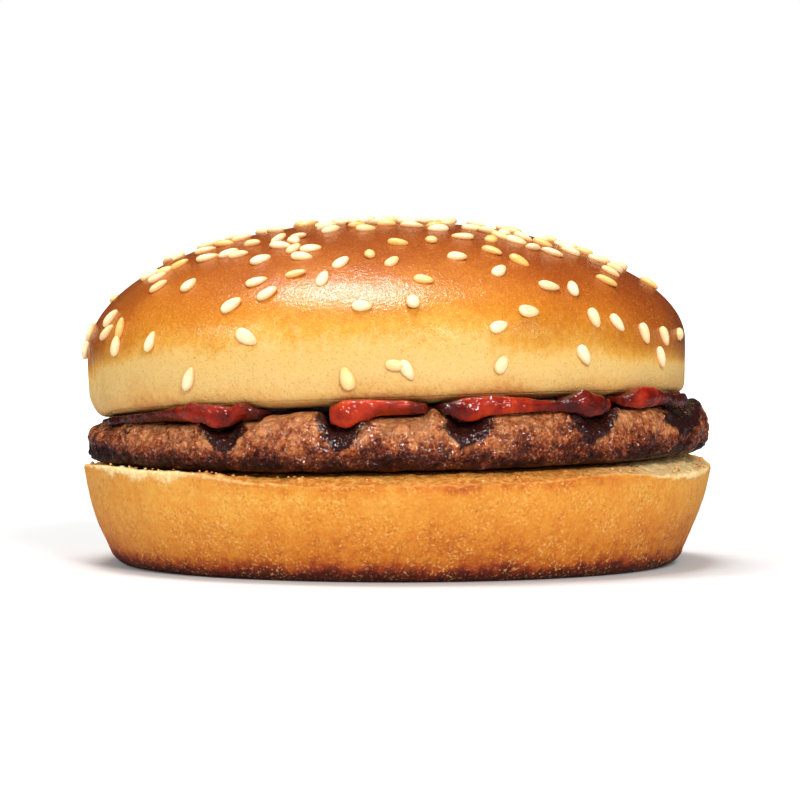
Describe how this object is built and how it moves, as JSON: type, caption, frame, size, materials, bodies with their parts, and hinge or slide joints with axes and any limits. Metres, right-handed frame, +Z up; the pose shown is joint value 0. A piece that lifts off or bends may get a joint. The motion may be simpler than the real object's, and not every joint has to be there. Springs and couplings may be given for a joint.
{
  "type": "hamburger",
  "caption": "Plain hamburger: grilled beef patty and ketchup between a flat bun heel and a domed bun crown sprinkled with sesame seeds",
  "frame": {"origin": "middle of the bun heel's flat base", "axes": "+Z up through the stack, front of the burger faces -Y, +X to its right"},
  "size_m": [0.103, 0.1024, 0.0567],
  "materials": {
    "bun_heel": "soft baked crust, matt",
    "patty": "grilled minced beef, moist and craggy",
    "ketchup": "wet glossy sauce",
    "bun_crown": "egg-washed baked crust, satin, with pale sesame seeds"
  },
  "bodies": {
    "root": {"bun_heel": "bun_heel", "patty": "patty", "ketchup": "ketchup", "bun_crown": "bun_crown"}
  },
  "joints": []
}
